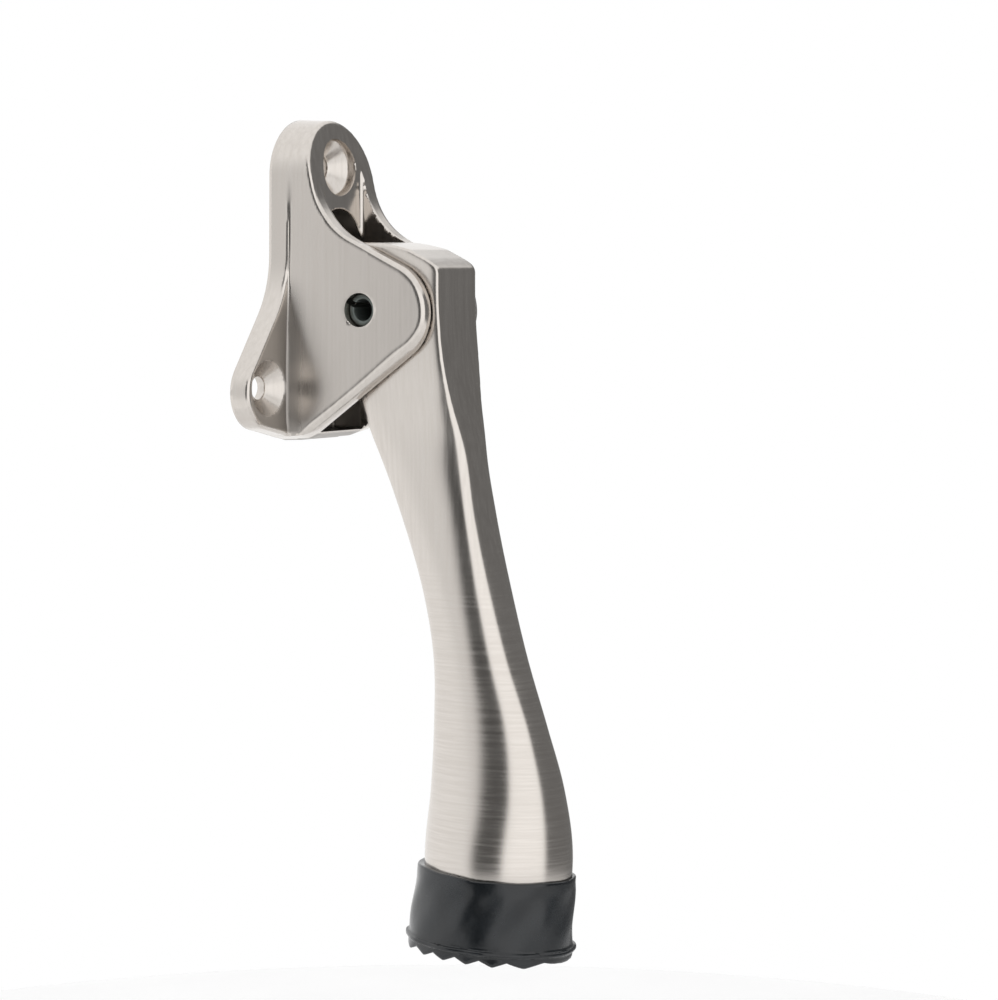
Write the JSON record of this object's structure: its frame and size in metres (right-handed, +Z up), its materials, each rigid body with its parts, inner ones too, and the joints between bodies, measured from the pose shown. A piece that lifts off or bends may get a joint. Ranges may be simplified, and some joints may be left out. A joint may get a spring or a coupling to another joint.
{
  "type": "floor door holder",
  "caption": "Kick-down door holder: a screw-on bracket with a swinging cast arm that stands a ribbed rubber boot on the floor to hold a door open.",
  "frame": {"origin": "on the mounting face, on the bridge of metal between the upper screw hole and the arm slot", "axes": "+X across the door, +Y into the door, +Z up"},
  "size_m": [0.0484, 0.061, 0.1604],
  "materials": {
    "satin_nickel": "satin nickel plate, finely brushed up and down",
    "black_spring_pin": "black oxide spring steel, dull",
    "spring_steel": "bright hardened steel",
    "black_rubber": "moulded black rubber, slightly shiny, with a thin flash line"
  },
  "bodies": {
    "bracket": {"bracket": "satin_nickel", "pivot_pin": "black_spring_pin"},
    "arm": {"arm": "satin_nickel", "rubber_boot": "black_rubber", "detent_spring": "spring_steel"},
    "detent_ball": {"detent_ball": "spring_steel"}
  },
  "joints": [
    {"name": "arm_swing", "type": "hinge", "parent": "bracket", "child": "arm", "pos_m": [0, -0.0204, -0.022], "axis": [-1, 0, 0], "range_deg": [0, 155]},
    {"name": "detent_press", "type": "slide", "parent": "arm", "child": "detent_ball", "axis": [1, 0, 0], "range_m": [0, 0.0008], "stiffness_N_per_m": 500, "deforming": ["detent_spring"]}
  ]
}
